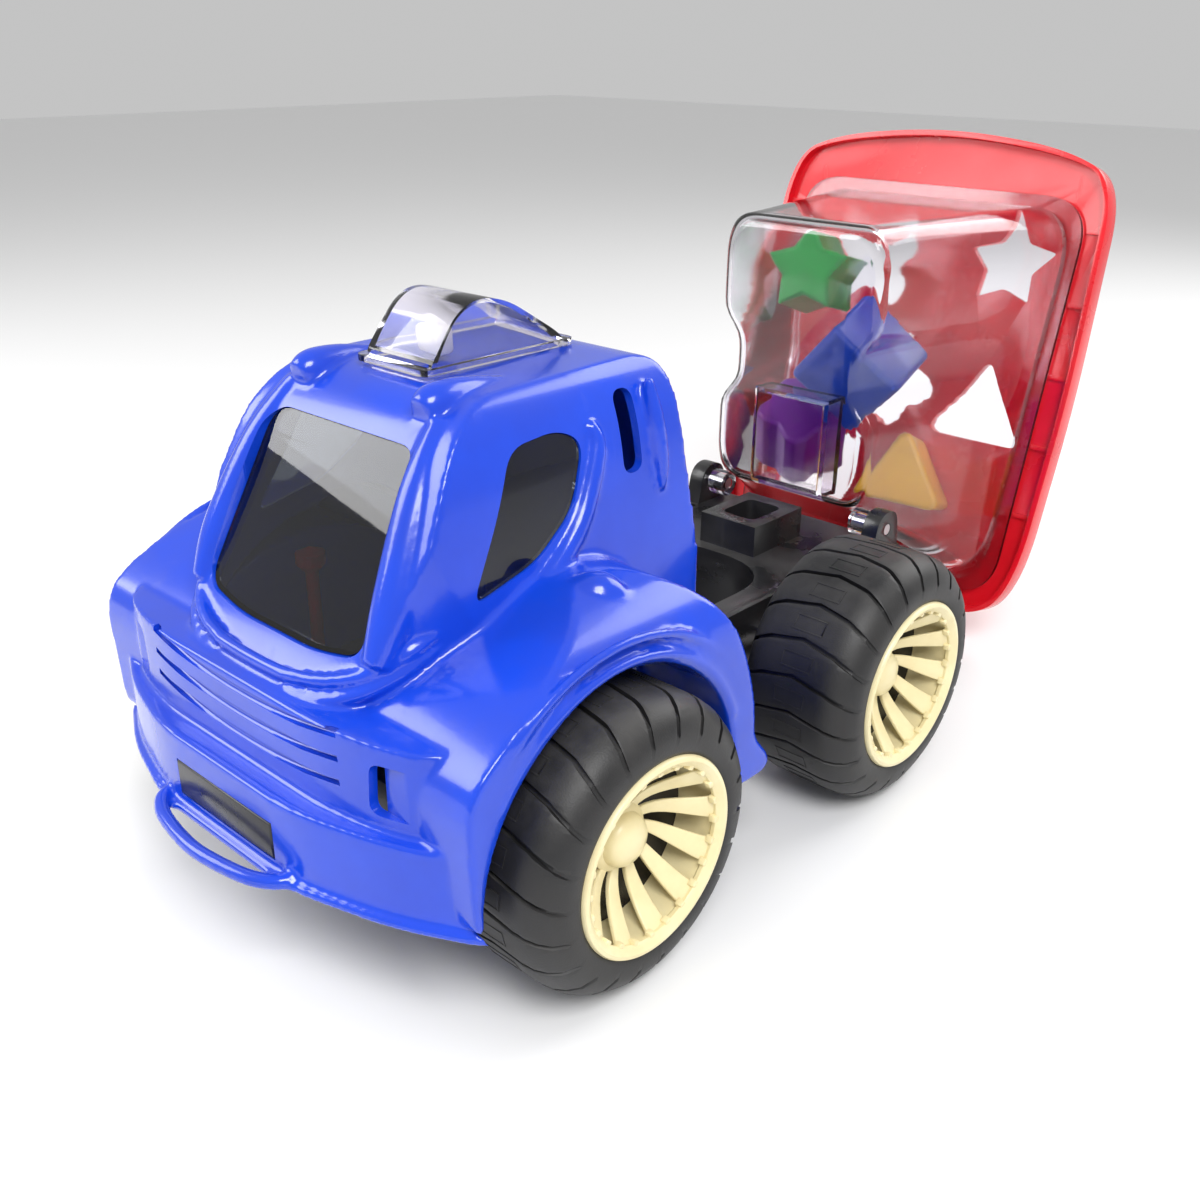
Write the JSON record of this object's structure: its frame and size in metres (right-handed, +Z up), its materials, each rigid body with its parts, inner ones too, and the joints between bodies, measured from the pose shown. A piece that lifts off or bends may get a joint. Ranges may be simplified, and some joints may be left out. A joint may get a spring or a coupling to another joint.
{
  "type": "toy tipper truck",
  "caption": "Toy dump truck with a moulded cab, spoked wheels and a clear tipping bin closed by a shape-sorter lid with blocks inside.",
  "frame": {"origin": "middle of the overall box on the ground under the truck", "axes": "+Z up, the truck faces -Y, +Y towards the tipped bin, +X across the truck along the axles"},
  "size_m": [0.2292, 0.4458, 0.2353],
  "materials": {
    "blue_plastic": "gloss",
    "smoked_plastic": "gloss",
    "clear_plastic": "gloss",
    "white_plastic": "gloss",
    "black_plastic": "satin",
    "red_plastic": "gloss",
    "cream_plastic": "satin",
    "tyre": "matt",
    "steel": "satin",
    "blue_block": "gloss",
    "green_block": "gloss",
    "purple_block": "gloss",
    "yellow_block": "gloss"
  },
  "bodies": {
    "truck": {"cab_shell": "blue_plastic", "windshield": "smoked_plastic", "side_window_left": "smoked_plastic", "side_window_right": "smoked_plastic", "beacon_cover": "clear_plastic", "beacon_lamp": "white_plastic", "number_plate": "black_plastic", "gear_lever": "red_plastic", "chassis_frame": "black_plastic", "cab_screw_1": "steel", "cab_screw_2": "steel", "cab_screw_3": "steel", "cab_screw_4": "steel", "front_axle": "steel", "rear_axle": "steel", "axle_washer_front_left": "steel", "axle_washer_front_right": "steel", "axle_washer_rear_left": "steel", "axle_washer_rear_right": "steel", "hinge_pin_left": "steel", "hinge_pin_right": "steel"},
    "front_left_wheel": {"tyre_front_left": "tyre", "hub_front_left": "cream_plastic", "axle_cap_front_left": "cream_plastic"},
    "front_right_wheel": {"tyre_front_right": "tyre", "hub_front_right": "cream_plastic", "axle_cap_front_right": "cream_plastic"},
    "rear_left_wheel": {"tyre_rear_left": "tyre", "hub_rear_left": "cream_plastic", "axle_cap_rear_left": "cream_plastic"},
    "rear_right_wheel": {"tyre_rear_right": "tyre", "hub_rear_right": "cream_plastic", "axle_cap_rear_right": "cream_plastic"},
    "bin": {"bin_tub": "clear_plastic", "block_square": "blue_block", "block_star": "green_block", "block_clover": "purple_block", "block_triangle": "yellow_block"},
    "lid": {"bin_lid": "red_plastic"}
  },
  "joints": [
    {"name": "front_left_spin", "type": "hinge", "parent": "truck", "child": "front_left_wheel", "pos_m": [-0.0895, -0.12963, 0.05], "axis": [1, 0, 0], "continuous": true},
    {"name": "front_right_spin", "type": "hinge", "parent": "truck", "child": "front_right_wheel", "pos_m": [0.0895, -0.12963, 0.05], "axis": [1, 0, 0], "continuous": true},
    {"name": "rear_left_spin", "type": "hinge", "parent": "truck", "child": "rear_left_wheel", "pos_m": [-0.0895, 0.02137, 0.05], "axis": [1, 0, 0], "continuous": true},
    {"name": "rear_right_spin", "type": "hinge", "parent": "truck", "child": "rear_right_wheel", "pos_m": [0.0895, 0.02137, 0.05], "axis": [1, 0, 0], "continuous": true},
    {"name": "bin_tilt", "type": "hinge", "parent": "truck", "child": "bin", "pos_m": [0, 0.09837, 0.076], "axis": [1, 0, 0], "range_deg": [0, 90]},
    {"name": "lid_lift_off", "type": "slide", "parent": "bin", "child": "lid", "axis": [0, 0.9686, -0.2487], "range_m": [0, 0.04]}
  ]
}
